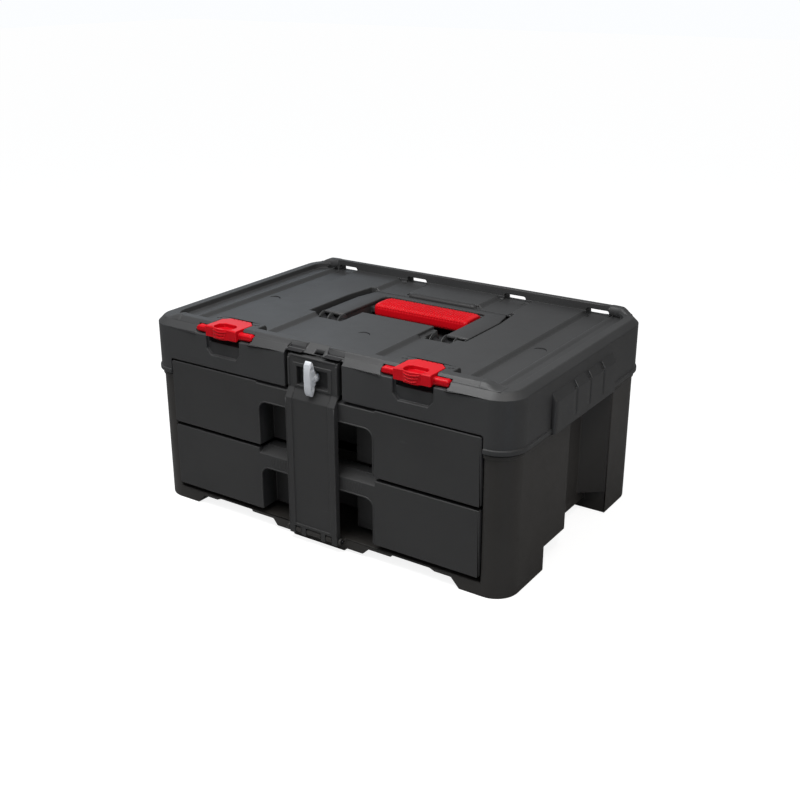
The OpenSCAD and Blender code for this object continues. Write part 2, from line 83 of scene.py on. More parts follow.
def math_node(tree, op, a, b=None, clamp=False):
    """A Math node, with sockets or numbers as its inputs."""
    n = tree.nodes.new("ShaderNodeMath")
    n.operation = op
    n.use_clamp = clamp
    for i, v in enumerate((a, b)):
        if v is None:
            continue
        if isinstance(v, (int, float)):
            n.inputs[i].default_value = v
        else:
            tree.links.new(v, n.inputs[i])
    return n.outputs[0]


def noise_node(tree, vector, scale, detail=2.0, rough=0.5):
    """Noise on the given vector; scale may be a socket."""
    n = tree.nodes.new("ShaderNodeTexNoise")
    tree.links.new(vector, n.inputs["Vector"])
    n.inputs["Detail"].default_value = detail
    n.inputs["Roughness"].default_value = rough
    if isinstance(scale, (int, float)):
        n.inputs["Scale"].default_value = scale
    else:
        tree.links.new(scale, n.inputs["Scale"])
    return n.outputs["Fac"]


def ramp_node(tree, value, low, high, out_low=0.0, out_high=1.0):
    """Maps low..high of a value to out_low..out_high, clamped and eased."""
    n = tree.nodes.new("ShaderNodeMapRange")
    n.interpolation_type = "SMOOTHSTEP"
    tree.links.new(value, n.inputs["Value"])
    for label, v in (("From Min", low), ("From Max", high), ("To Min", out_low), ("To Max", out_high)):
        n.inputs[label].default_value = v
    return n.outputs["Result"]


def make_moulded_grain():
    """Spark-eroded mould grain. The height is fine noise plus slow noise times the ripple, and the
    patch mask is a slower noise, eased to 0..1."""
    g, gin, gout = new_group(
        "moulded_grain",
        [("Vector", "NodeSocketVector", None), ("Grain Size", "NodeSocketFloat", GRAIN_SCALE),
         ("Ripple", "NodeSocketFloat", GRAIN_RIPPLE)],
        [("Height", "NodeSocketFloat"), ("Patch", "NodeSocketFloat")])
    v = gin.outputs["Vector"]
    fine = noise_node(g, v, gin.outputs["Grain Size"], 2.0, 0.6)
    ripple = noise_node(g, v, 22.0, 2.0)
    height = math_node(g, "ADD", fine, math_node(g, "MULTIPLY", ripple, gin.outputs["Ripple"]))
    g.links.new(height, gout.inputs["Height"])
    g.links.new(ramp_node(g, noise_node(g, v, 9.0, 4.0, 0.6), 0.3, 0.7), gout.inputs["Patch"])
    return g


def make_edge_wear():
    """Mask of rubbed convex edges: the mesh's pointiness, broken up by noise."""
    g, gin, gout = new_group(
        "edge_wear",
        [("Vector", "NodeSocketVector", None), ("Amount", "NodeSocketFloat", 0.5)],
        [("Mask", "NodeSocketFloat")])
    geo = g.nodes.new("ShaderNodeNewGeometry")
    edge = ramp_node(g, geo.outputs["Pointiness"], 0.52, 0.62)
    broken = ramp_node(g, noise_node(g, gin.outputs["Vector"], 160.0, 4.0, 0.65), 0.42, 0.62, 0.15, 1.0)
    mask = math_node(g, "MULTIPLY", math_node(g, "MULTIPLY", edge, broken), gin.outputs["Amount"], clamp=True)
    g.links.new(mask, gout.inputs["Mask"])
    return g


def make_handling():
    """Marks of use: thin scratches and soft smears that change the roughness."""
    g, gin, gout = new_group(
        "handling",
        [("Vector", "NodeSocketVector", None), ("Amount", "NodeSocketFloat", 0.5)],
        [("Roughness Shift", "NodeSocketFloat"), ("Scratch", "NodeSocketFloat")])
    v = gin.outputs["Vector"]
    stretch = g.nodes.new("ShaderNodeMapping")
    stretch.inputs["Rotation"].default_value = (0.3, 0.2, 0.6)
    stretch.inputs["Scale"].default_value = (6.0, 160.0, 60.0)
    g.links.new(v, stretch.inputs["Vector"])
    lines = ramp_node(g, noise_node(g, stretch.outputs["Vector"], 4.0, 3.0, 0.6), 0.68, 0.74)
    where = ramp_node(g, noise_node(g, v, 14.0, 2.0), 0.5, 0.66)
    scratch = math_node(g, "MULTIPLY", math_node(g, "MULTIPLY", lines, where), gin.outputs["Amount"])
    smear = ramp_node(g, noise_node(g, v, 17.0, 5.0, 0.62), 0.3, 0.72, -0.06, 0.06)
    shift = math_node(g, "ADD", math_node(g, "MULTIPLY", smear, gin.outputs["Amount"]),
                      math_node(g, "MULTIPLY", scratch, 0.08))
    g.links.new(shift, gout.inputs["Roughness Shift"])
    g.links.new(scratch, gout.inputs["Scratch"])
    return g


GRAIN = make_moulded_grain()
WEAR = make_edge_wear()
HANDLING = make_handling()


def group_node(tree, group, vector, **values):
    """A shader group placed in a material; an underscore in a value's name stands for a space."""
    n = tree.nodes.new("ShaderNodeGroup")
    n.node_tree = group
    tree.links.new(vector, n.inputs["Vector"])
    for label, v in values.items():
        n.inputs[label.replace("_", " ")].default_value = v
    return n


def moulded_plastic(name, colour, patch_colour, worn_colour, roughness, specular, wear, use=0.5,
                    bump=0.02):
    """Injection-moulded plastic: two close tones in soft patches, paler rubbed edges and scratches,
    mould grain in the bump, and a roughness that wanders with handling. Bump is in millimetres."""
    m = bpy.data.materials.new(name)
    m.use_nodes = True
    t = m.node_tree
    bsdf = t.nodes["Principled BSDF"]
    where = t.nodes.new("ShaderNodeTexCoord").outputs["Object"]
    g = group_node(t, GRAIN, where, Grain_Size=GRAIN_SCALE, Ripple=GRAIN_RIPPLE)
    w = group_node(t, WEAR, where, Amount=wear)
    h = group_node(t, HANDLING, where, Amount=use)
    tone = t.nodes.new("ShaderNodeMix")
    tone.data_type = "RGBA"
    tone.inputs["A"].default_value = (*colour, 1)
    tone.inputs["B"].default_value = (*patch_colour, 1)
    t.links.new(g.outputs["Patch"], tone.inputs["Factor"])
    worn = t.nodes.new("ShaderNodeMix")
    worn.data_type = "RGBA"
    worn.inputs["B"].default_value = (*worn_colour, 1)
    t.links.new(tone.outputs["Result"], worn.inputs["A"])
    t.links.new(math_node(t, "MAXIMUM", w.outputs["Mask"],
                          math_node(t, "MULTIPLY", h.outputs["Scratch"], 0.5)), worn.inputs["Factor"])
    t.links.new(worn.outputs["Result"], bsdf.inputs["Base Color"])
    t.links.new(math_node(t, "ADD", h.outputs["Roughness Shift"], roughness, clamp=True),
                bsdf.inputs["Roughness"])
    b = t.nodes.new("ShaderNodeBump")
    b.inputs["Strength"].default_value = 0.35
    b.inputs["Distance"].default_value = bump * MM
    t.links.new(g.outputs["Height"], b.inputs["Height"])
    t.links.new(b.outputs["Normal"], bsdf.inputs["Normal"])
    bsdf.inputs["Specular IOR Level"].default_value = specular
    return m


def rolled_steel(name, colour, roughness):
    """Zinc-plated steel: metal with a faint crystalline mottle and drawn lines."""
    m = bpy.data.materials.new(name)
    m.use_nodes = True
    t = m.node_tree
    bsdf = t.nodes["Principled BSDF"]
    where = t.nodes.new("ShaderNodeTexCoord").outputs["Object"]
    bsdf.inputs["Metallic"].default_value = 1.0
    h = group_node(t, HANDLING, where, Amount=1.0)
    cells = t.nodes.new("ShaderNodeTexVoronoi")
    cells.inputs["Scale"].default_value = 260.0
    t.links.new(where, cells.inputs["Vector"])
    tone = t.nodes.new("ShaderNodeMix")
    tone.data_type = "RGBA"
    tone.inputs["A"].default_value = (*colour, 1)
    tone.inputs["B"].default_value = (*[c * 0.82 for c in colour], 1)
    t.links.new(ramp_node(t, cells.outputs["Distance"], 0.0, 0.8), tone.inputs["Factor"])
    t.links.new(tone.outputs["Result"], bsdf.inputs["Base Color"])
    t.links.new(math_node(t, "ADD", h.outputs["Roughness Shift"], roughness, clamp=True),
                bsdf.inputs["Roughness"])
    return m


# For each plastic: its two tones, the tone of its rubbed edges, and its roughness.
LID = moulded_plastic("lid_charcoal", (0.0265, 0.0268, 0.0275), (0.031, 0.0314, 0.0322),
                      (0.085, 0.085, 0.087), 0.5, wear=0.3, specular=0.28)
SHELL = moulded_plastic("cabinet_charcoal", (0.0205, 0.0188, 0.0172), (0.0242, 0.0225, 0.0208),
                        (0.085, 0.085, 0.085), 0.5, wear=0.3, specular=0.28)
DRAWER = moulded_plastic("drawer_charcoal", (0.022, 0.022, 0.0223), (0.026, 0.026, 0.0263),
                         (0.085, 0.085, 0.087), 0.5, wear=0.3, specular=0.28)
# Near-black, used only as painted shade: in the hinge pockets, on the notch cheeks, in the gap behind the
# handle, in the mould marks' rings and in the lip's dashes.
DARK = moulded_plastic("painted_shade_black", (0.008, 0.008, 0.009), (0.011, 0.011, 0.012), (0.03, 0.03, 0.03),
                       0.6, wear=0.1, specular=0.15)
RED = moulded_plastic("latch_red", (0.40, 0.0015, 0.006), (0.45, 0.0025, 0.008), (0.55, 0.03, 0.035), 0.34,
                      bump=0.008, wear=0.3, use=0.6, specular=0.12)
GRIP_RED = moulded_plastic("grip_red", (0.42, 0.002, 0.006), (0.48, 0.003, 0.008), (0.54, 0.02, 0.025), 0.38,
                           bump=0.01, wear=0.25, specular=0.12)
GREY = moulded_plastic("knob_grey", (0.45, 0.465, 0.49), (0.49, 0.505, 0.53), (0.75, 0.75, 0.76), 0.42,
                       bump=0.012, wear=0.3, specular=0.35)
# Dark red as painted shade of the notches along the latches' rear edges.
DARK_RED = moulded_plastic("notch_shade_red", (0.12, 0.001, 0.003), (0.15, 0.002, 0.004), (0.2, 0.01, 0.012), 0.5,
                          wear=0.1, specular=0.12)
# Darker charcoal: on the plateau roll it is painted shade of the recess's back wall, and the back rim ridge
# is drawn in it too.
ROLL = moulded_plastic("roll_shade_and_rim_ridge_charcoal", (0.018, 0.018, 0.0185), (0.022, 0.022, 0.0225), (0.06, 0.06, 0.06),
                       0.48, wear=0.2, specular=0.25)
# Pale charcoal as a painted highlight on the step at the top of each side-block groove.
PAINTED_HIGHLIGHT = moulded_plastic("painted_highlight_charcoal", (0.10, 0.102, 0.105), (0.12, 0.122, 0.125), (0.15, 0.15, 0.15),
                         0.45, wear=0.2, specular=0.3)
STEEL = rolled_steel("zinc_steel", (0.58, 0.59, 0.6), 0.34)
BLACK_STEEL = rolled_steel("blackened_steel", (0.05, 0.05, 0.055), 0.42)

# ------------------------------------------------------------------ making pieces

MERGE_M = 2e-6            # points nearer than this, in metres, become one
SAME_PLANE = 0.9999       # least cosine between the normals of faces in one plane
SHARP = math.radians(28)  # edges that turn more than this are rounded
FULL_REACH = 2.3          # a face that reaches this many radii from its edge takes the whole radius
LEAST_WEIGHT = 0.12       # an edge that could take only this share of the radius stays sharp


def place(points):
    """Millimetres, with y behind the lid's front face, to metres in the row frame."""
    p = np.asarray(points, float).copy()
    p[..., 1] += FRONT_Y
    return p * MM


def make_mesh(name, verts, faces, material):
    """A smooth-shaded object at the origin, with its place in its mesh."""
    mesh = bpy.data.meshes.new(name)
    mesh.from_pydata(verts.reshape(-1, 3).tolist(), [], faces)
    mesh.materials.append(material)
    mesh.polygons.foreach_set("use_smooth", [True] * len(mesh.polygons))
    mesh.update()
    piece = bpy.data.objects.new(name, mesh)
    bpy.context.scene.collection.objects.link(piece)
    return piece


def finish_piece(piece, slot, body, *replaced):
    """Gives a piece its body and hides the nodes that it replaces. The slot is not used."""
    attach(piece, body)
    if replaced:
        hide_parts(*replaced)
    return piece


def ring_faces(rings, points):
    """Quads between each closed ring of points and the next, as whole arrays."""
    i = np.arange(rings - 1)[:, None] * points
    j = np.arange(points)[None, :]
    j2 = (j + 1) % points
    q = np.stack([i + j, i + j2, i + points + j2, i + points + j], -1)
    return q.reshape(-1, 4).tolist()


def outward(piece):
    """Merges doubles and turns the faces outwards."""
    bm = bmesh.new()
    bm.from_mesh(piece.data)
    bmesh.ops.remove_doubles(bm, verts=bm.verts, dist=MERGE_M)
    bmesh.ops.recalc_face_normals(bm, faces=bm.faces)
    bm.to_mesh(piece.data)
    bm.free()
    return piece


def tubes(name, parts, material):
    """Surfaces through closed rings, in one piece. Each part is an array (rings, points, xyz) in
    millimetres, and a face fills each of its ends."""
    verts, faces, start = [], [], 0
    for rings in parts:
        n, k = rings.shape[:2]
        own = ring_faces(n, k) + [list(range(k)), list(range((n - 1) * k, n * k))]
        faces += [[start + i for i in f] for f in own]
        verts.append(place(rings).reshape(-1, 3))
        start += n * k
    return outward(make_mesh(name, np.concatenate(verts), faces, material))


def tube(name, rings, material):
    """A piece of one surface."""
    return tubes(name, [rings], material)


def bead(path, radius, sides=10, up=(0, 0, 1)):
    """Rings of a round bead: at each point of the path, a circle in the plane across the path. The
    radius is one number, or one for each point."""
    p = np.asarray(path, float)
    along = np.gradient(p, axis=0)
    along /= np.linalg.norm(along, axis=1, keepdims=True)
    side = np.cross(along, up)
    side /= np.linalg.norm(side, axis=1, keepdims=True)
    over = np.cross(side, along)
    a = np.linspace(0, 2 * np.pi, sides, endpoint=False)[None, :, None]
    r = np.broadcast_to(radius, len(p))[:, None, None]
    return p[:, None] + r * (np.cos(a) * side[:, None] + np.sin(a) * over[:, None])


def straight(start, end, count=2):
    """Points from start to end, evenly spaced."""
    t = np.linspace(0, 1, count)[:, None]
    return np.asarray(start, float) * (1 - t) + np.asarray(end, float) * t


def rounded_ends(count, radius, length):
    """Radii of a bead with hemispherical ends: sqrt(r^2 - d^2) near each end, d being how far inside
    the last r the point lies."""
    t = np.linspace(0, length, count)
    d = np.clip(radius - np.minimum(t, length - t), 0, radius * 0.985)
    return np.sqrt(radius ** 2 - d ** 2)


def smooth(x):
    """0 below 0, 1 above 1, and 3x^2 - 2x^3 between."""
    x = np.clip(x, 0, 1)
    return x * x * (3 - 2 * x)


def flat_reach(face, a, b):
    """How far a face, with its neighbours in the same plane, reaches from the line through a and b."""
    d = (b - a).normalized()
    faces = {face}
    for e in face.edges:
        faces.update(f for f in e.link_faces if f.normal.dot(face.normal) > SAME_PLANE)
    return max(((v.co - a) - d * (v.co - a).dot(d)).length for f in faces for v in f.verts)


def keep_in_box(piece, node):
    """Applies the piece's bevel and brings back any corner that it pushed out of the node's box."""
    view = bpy.context.evaluated_depsgraph_get()
    mesh = bpy.data.meshes.new_from_object(piece.evaluated_get(view))
    piece.modifiers.clear()
    mesh.name = piece.data.name
    piece.data = mesh
    co = np.empty(len(mesh.vertices) * 3, np.float32)
    mesh.vertices.foreach_get("co", co)
    low, high = (np.array(c, np.float32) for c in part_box(node))
    co = np.clip(co.reshape(-1, 3), low, high)
    mesh.vertices.foreach_set("co", co.ravel())
    mesh.update()


def rounded_copy(node, width, material, slot, segments=2):
    """A copy of a CAD node with its doubles merged and its sharp edges rounded. Width is the radius in
    millimetres; it is less on edges whose faces are narrow."""
    mesh = frame["nodes"][node].data.copy()
    mesh.name = "rounded_" + node
    bm = bmesh.new()
    bm.from_mesh(mesh)
    bmesh.ops.remove_doubles(bm, verts=bm.verts, dist=MERGE_M)
    layer = bm.edges.layers.float.new("bevel_weight_edge")
    for e in bm.edges:
        if len(e.link_faces) != 2 or e.calc_face_angle(0) < SHARP:
            continue
        a, b = e.verts[0].co, e.verts[1].co
        reach = min(flat_reach(f, a, b) for f in e.link_faces)
        weight = min(1.0, reach / (FULL_REACH * width * MM))
        if weight > LEAST_WEIGHT:
            e[layer] = weight
        else:
            e.smooth = False
    for f in bm.faces:
        f.smooth = True
    bm.to_mesh(mesh)
    bm.free()
    mesh.materials.clear()
    mesh.materials.append(material)
    piece = bpy.data.objects.new(mesh.name, mesh)
    bpy.context.scene.collection.objects.link(piece)
    bevel = piece.modifiers.new("rounded_edges", "BEVEL")
    bevel.limit_method = "WEIGHT"
    bevel.width = width * MM
    bevel.segments = segments
    bevel.use_clamp_overlap = False
    bevel.loop_slide = False
    bevel.miter_outer = "MITER_SHARP"
    keep_in_box(piece, node)
    normals = piece.modifiers.new("flat_faces_stay_flat", "WEIGHTED_NORMAL")
    normals.keep_sharp = True
    normals.weight = 60
    return finish_piece(piece, slot, BODY_OF[node], node)


# ------------------------------------------------------------------ pieces from the solids

PLASTIC = "charcoal_plastic"
rounded_copy("cabinet_shell", 1.2, SHELL, PLASTIC, 3)
rounded_copy("lid_cover", 1.2, LID, PLASTIC, 3)
for drawer in ("upper", "lower"):
    rounded_copy(drawer + "_drawer_front", 1.0, DRAWER, PLASTIC, 3)
    rounded_copy(drawer + "_drawer_tray", 0.6, SHELL, PLASTIC)
    rounded_copy(drawer + "_front_screws", 0.4, STEEL, "steel")
    for side in ("left", "right"):
        rounded_copy(f"{drawer}_{side}_outer_rail", 0.3, STEEL, "steel")
        rounded_copy(f"{drawer}_{side}_inner_rail", 0.3, STEEL, "steel")
rounded_copy("handle_frame", 1.3, LID, PLASTIC, 3)
rounded_copy("front_bar", 0.8, DRAWER, PLASTIC, 3)
rounded_copy("bar_back_plate", 0.4, DRAWER, PLASTIC)
rounded_copy("latch_left", 0.8, RED, "red_plastic", 3)
rounded_copy("latch_right", 0.8, RED, "red_plastic", 3)
for node in ("lid_screws", "rail_screws", "bar_plate_screws", "knob_cam", "knob_screw"):
    rounded_copy(node, 0.3, STEEL, "steel")
for node in ("handle_pins", "latch_left_pin", "latch_right_pin", "bar_hinge_pin"):
    rounded_copy(node, 0.3, BLACK_STEEL, "steel")


def grip_piece():
    """The handle's red grip. Its section is a superellipse, |y/a|^4 + |z/b|^4 = 1, drawn in at both
    ends by a quarter circle, and its upper half carries a diamond knurl: the product of two sine
    waves that run at +45 and -45 degrees over the length and round the section."""
    half_length, end_length = 66, 5
    centre_y, centre_z = 226.6, 209.0
    half_depth, half_height = 18.3, 8.6
    n, pitch, knurl_lift = 4.0, 3.9, 0.12
    u = np.linspace(-half_length, half_length, 300)[:, None]
    v = np.linspace(0, 2 * np.pi, 120, endpoint=False)[None, :]
    end = np.clip((np.abs(u) - (half_length - end_length)) / end_length, 0, 1)
    draw = 1 - 0.22 * (1 - np.sqrt(1 - np.minimum(end, 0.999) ** 2))
    c, s = np.cos(v), np.sin(v)
    radius = (np.abs(c) ** n + np.abs(s) ** n) ** (-1 / n)
    # the distance round the section, taken a little outside it
    around = np.cumsum(np.hypot(np.gradient((18.4 * c * radius)[0]),
                                np.gradient((8.9 * s * radius)[0])))[None, :]
    knurl = np.sin((u + around) * np.pi / pitch) * np.sin((u - around) * np.pi / pitch)
    upper_half = np.clip((s * radius - 0.35) / 0.3, 0, 1)
    off_the_ends = np.clip((62 - np.abs(u)) / 2, 0, 1)
    lift = 1 + knurl_lift * knurl * (upper_half * off_the_ends)
    y = centre_y + half_depth * c * radius * draw * (1 + (lift - 1) * 0.3)
    z = centre_z + half_height * s * radius * draw * lift
    rings = np.stack([u + 0 * v, y, z], -1)
    return finish_piece(tube("knurled_grip", rings, GRIP_RED), "red_plastic", "handle", "handle_grip")


grip_piece()


def knob_piece():
    """The lock knob. Its plate has a superellipse section, |x/a|^5 + |y/b|^5 = 1, whose front is bowed:
    front and back distances are interpolated over the height. Round dimples sink into both cheeks by
    depth * (1 - (r/R)^2)^2, and a boss in the middle rises the same way. The hub is a turned profile."""
    half_height, half_width, edge_taper = 19.5, 4.8, 0.9
    dz = half_height * np.sin(np.linspace(-np.pi / 2, np.pi / 2, 150))
    knots = np.array([-19.5, -18.6, -16.5, -12.5, -8.5, -7, 0, 7, 8.5, 12.5, 16.5, 18.6, 19.5])
    front = np.interp(dz, knots, [-6.3, -7.6, -8.9, -9.7, -10.1, -10.2, -10.4, -10.2, -10.1, -9.7, -8.9,
                                  -7.6, -6.3])
    back = np.interp(dz, knots, [-5.3, -4.1, -2.9, -1.8, -1.2, 0.9, 1.0, 0.9, -1.2, -1.8, -2.9, -4.1, -5.3])
    v = np.linspace(0, 2 * np.pi, 120, endpoint=False)[None, :]
    c, s = np.cos(v), np.sin(v)
    radius = (np.abs(c) ** 5 + np.abs(s) ** 5) ** (-1 / 5)
    thick = half_width - edge_taper * smooth((np.abs(dz)[:, None] - 14) / 5.5)
    x = thick * c * radius
    y = ((front + back) / 2)[:, None] + ((back - front) / 2)[:, None] * s * radius
    z = KNOB_Z + dz[:, None] + 0 * v
    # two dimples with the boss between them: height, place along y, radius, and depth or minus height
    for at_z, at_y, size, depth in ((209.5, -5.9, 3.2, 1.9), (198.6, -5.0, 3.4, -0.7),
                                    (188.3, -5.9, 3.0, 1.6)):
        r2 = ((z - at_z) ** 2 + (y - at_y) ** 2) / size ** 2
        x = x - np.sign(x) * depth * np.clip(1 - r2, 0, 1) ** 2 * (np.abs(c) > 0.25)
    plate = np.stack([x, y, z], -1)
    # the hub's profile: place along y, and radius
    turn = np.array([[-3.0, 5.2], [-2.2, 6.1], [4.9, 6.1], [5.5, 5.5], [5.55, 3.94], [15.4, 3.94]])
    along = np.stack([np.zeros(len(turn)), turn[:, 0], np.full(len(turn), KNOB_Z)], -1)
    hub = bead(along, turn[:, 1], 48)
    return finish_piece(tubes("knob_plate_and_hub", [plate, hub], GREY), "grey_plastic", "knob", "lock_knob")


def latch_ridges(side):
    """Three ridges across a latch's nose, for a finger. Each is a bead on the nose's cylinder,
    y = 20 - sqrt(24.6^2 - x^2), that sags in the middle by a parabola."""
    nose_centre, nose_radius, ridge_radius, sag = 20, 24.6, 0.7, 1.1
    x = np.linspace(-10, 10, 40)
    parts = []
    for z, half in ((228.6, 10.0), (225.2, 8.6), (221.8, 7.2)):
        u = x * half / 10
        y = nose_centre - np.sqrt(nose_radius ** 2 - u ** 2)
        path = np.stack([side * LATCH_X + u, y, z - sag * (1 - (u / half) ** 2)], -1)
        parts.append(bead(path, rounded_ends(40, ridge_radius, 2 * half), 8))
    latch = SIDES[side] + "_latch"
    return finish_piece(tubes(latch + "_ridges", parts, RED), "red_plastic", latch)


def latch_back_notches(side):
    """Four short dark marks along a latch's rear edge, painted shade of the notches there: straight round
    beads, a little proud of the top.
    """
    front_y, rear_y, z = 31.4, 33.8, 230.72
    parts = [bead(straight((side * LATCH_X + x, front_y, z), (side * LATCH_X + x, rear_y, z), 4), 0.55, 8)
             for x in (-9, -3, 3, 9)]
    latch = SIDES[side] + "_latch"
    return finish_piece(tubes(latch + "_notches", parts, DARK_RED), "red_plastic", latch)


def shade_hinge_pockets():
    """Black sleeves over the handle's slim barrels, between the ribs: painted shade of the deep pockets
    there.
    Each swells a little to both ends like the moulded pockets: r = 4.7 + 2.6 |t|^3 for t from -1 to 1."""
    t = np.linspace(-1, 1, 17)
    parts = []
    for side in (-1, 1):
        for a, b in ((57.6, 70.9), (73.1, 85.9), (88.1, 98.9)):
            path = straight((side * a, HINGE_Y, HINGE_Z), (side * b, HINGE_Y, HINGE_Z), 17)
            parts.append(bead(path, 4.7 + 2.6 * np.abs(t) ** 3, 32))
    return finish_piece(tubes("hinge_pocket_painted_shade", parts, DARK), PLASTIC, "handle")


def pull_band_ribs():
    """Fine upright ribs on the lower drawer's pull band, every 4 mm beside the bar: straight beads."""
    foot, head, y = 78.0, 90.6, 0.12
    parts = [bead(straight((side * x, y, foot), (side * x, y, head), 6), rounded_ends(6, 0.42, 12.6), 8,
                  (0, 1, 0)) for side in (-1, 1) for x in np.arange(38, 66, 4)]
    return finish_piece(tubes("pull_band_ribs", parts, DRAWER), PLASTIC, "lower_drawer")


def pocket_bead(drawer, z):
    """The moulded bead round a hand pocket: a round bead up one side, round a quarter circle of
    radius 11, across the top and down the other side."""
    a = np.linspace(0, np.pi / 2, 14)
    right = np.stack([66 + 11 * np.cos(a), z + 43 + 11 * np.sin(a)], -1)
    leg = straight((77, z + 1.5), (77, z + 42), 12)
    half = np.concatenate([leg, right, straight((64, z + 54), (0, z + 54), 12)])
    outline = np.concatenate([half, (half * [-1, 1])[::-1][1:]])
    path = np.stack([outline[:, 0], np.full(len(outline), 0.35), outline[:, 1]], -1)
    return finish_piece(tube(f"{drawer}_pocket_bead", bead(path, 0.95, 12, (0, 1, 0)), DRAWER), PLASTIC,
                        f"{drawer}_drawer")


def side_grip(side):
    """The ribbed block on the lid's side: a sheet over length and height. Outwards it is flat, falls
    away by a quarter of a superellipse of power 4 at its front end, and slopes in above the bend. Over
    11 mm before the end of each groove it sinks as the distance to the power 2.2, and then steps back
    out as 3t^2 - 2t^3 over 1.3 mm. The grooves fade out above the lower edge, which is a quarter circle."""
    y = np.unique(np.concatenate([np.linspace(81.1, 91, 40), np.linspace(91, 229, 440),
                                  np.linspace(229, 230.8, 12)]))[:, None]
    z = np.concatenate([np.linspace(206, BLOCK_BEND_Z, 22), np.linspace(196.6, 160.6, 60)])[None, :]
    slope = np.clip((z - BLOCK_BEND_Z) / 9, 0, 1)
    groove = 0 * y
    for end_y in GROOVES_Y:
        t = y - end_y
        groove = np.maximum(groove, np.where(t < 0, np.clip(1 + t / 11, 0, 1) ** 2.2, 1 - smooth(t / 1.3)))
    depth = np.where(z > BLOCK_BEND_Z, 2.6, 1.0) * smooth((z - 167.5) / 3.0)
    out = 6.0 - slope * 5.6 - groove * depth
    end = (1 - (np.clip(90 - y, 0, 8.95) / 9) ** 4) ** 0.25 * (1 - smooth((y - 229.2) / 1.6))
    foot = np.sqrt(np.clip(1 - np.clip((162.4 - z) / 1.85, 0, 1) ** 2, 0, 1))
    x = 240.2 + np.maximum(out, 0) * end * foot
    zz = z - 1.6 * groove * slope + 0 * y
    face = np.stack([side * x, y + 0 * z, zz], -1)
    back = face[:, ::-1].copy()
    back[..., 0] = side * 239.4
    block = tube(SIDES[side] + "_side_grip", np.concatenate([face, back[:, ::8]], 1), LID)
    return finish_piece(block, PLASTIC, "case")


def channel_slopes():
    """The eased slopes between the deck's raised panels and its channels. The section starts just above
    the panel, falls by 4.1 mm as 3t^2 - 2t^3 over 7.2 mm and ends under the channel's floor. Beside the
    side rims it is a low ridge, a raised cosine 14 mm wide."""
    t = np.linspace(0, 1, 14)
    across = np.concatenate([[-1.0], 7.2 * t, [7.8, 7.8, -1.0]]) - 1.8
    height = np.concatenate([[220.4], 221.04 - 4.1 * smooth(t), [216.6, UNDER_DECK_Z, UNDER_DECK_Z]])
    ridge_x, ridge_half = 203, 7
    parts = []
    for side in (-1, 1):
        for edge, way, start, end in ((167, 1, 27, 313), (50, 1, 27, 128), (97, -1, 27, 133),
                                      (50, 1, 265.5, 313), (97, -1, 260.5, 313)):
            y = straight((0, start), (0, end), 24)[:, 1]
            x = side * (edge + way * across)
            parts.append(np.stack(np.broadcast_arrays(x[None, :], y[:, None], height[None, :]), -1))
        x = np.concatenate([[193.5], np.linspace(195, 211, 24), [212.5, 212.5, 193.5]])
        fall = 1 + np.cos(np.clip(np.abs(x - ridge_x) / ridge_half, 0, 1) * np.pi)
        bump = np.where(x < ridge_x, 216.9 + 2.1 * fall, 219.4 + 0.85 * fall)
        bump[-2:] = UNDER_DECK_Z
        y = np.linspace(24, 313, 60)[:, None]
        rise = smooth((y - 24) / 9) * smooth((313 - y) / 6)
        z = UNDER_DECK_Z + (bump - UNDER_DECK_Z)[None, :] * rise
        parts.append(np.stack(np.broadcast_arrays(side * x[None, :], y, z), -1))
    return finish_piece(tubes("deck_channel_slopes", parts, LID), PLASTIC, "case")


def grip_edges():
    """Painted highlight at the top of each groove in the side blocks: a thin light bead down the slope."""
    parts = [bead(straight((side * 241.6, y + 1.2, 205.0), (side * 246.1, y + 1.2, 197.6), 8),
                  rounded_ends(8, 0.42, 8.7), 8) for side in (-1, 1) for y in GROOVES_Y]
    return finish_piece(tubes("side_grip_highlights", parts, PAINTED_HIGHLIGHT), PLASTIC, "case")


def lip_ends():
    """Where the front lip and the back rim run out at the corners: the section's heights fall from the
    lip's to the side rim's as 3t^2 - 2t^3, and the section follows the corner's circle."""
    # y of the section; its high and its low heights; where it starts and ends along x; where it starts
    # to fall, and over what length; the corner circle's centre and radius; and the way the circle turns
    front = ([6.6, 7.2, 11.7, 12.6, 21.5, 22.3, 22.9],
             [225.2, 226.3, 230.8, 231.2, 231.2, 230.6, 225.2],
             [225.2, 226.05, 226.1, 226.15, 226.15, 226.1, 225.2], 197, 221, 199, 21, 210.5, 30, 1)
    back = ([312.4, 315.5, 316.4, 323.5, 324.4, 329.2, 329.4],
            [219.3, 230.6, 231.2, 231.2, 230.7, 221.4, 219.3],
            [219.3, 225.8, 226.1, 226.15, 225.7, 221.2, 219.3], 199, 226, 212, 14, 202.5, 38, -1)
    parts = []
    for across, high, low, start, end, fall, length, centre, r, way in (front, back):
        x = np.linspace(start, end, 40)[:, None]
        keep = 1 - smooth((x - fall) / length)
        retreat = r - np.sqrt(r ** 2 - np.clip(x - centre, 0, r * 0.9) ** 2)
        z = np.array(low) + (np.array(high) - np.array(low)) * keep
        y = np.array(across) + way * retreat
        for side in (-1, 1):
            parts.append(np.stack(np.broadcast_arrays(side * x, y, z), -1))
    return finish_piece(tubes("lip_ends", parts, LID), PLASTIC, "case")


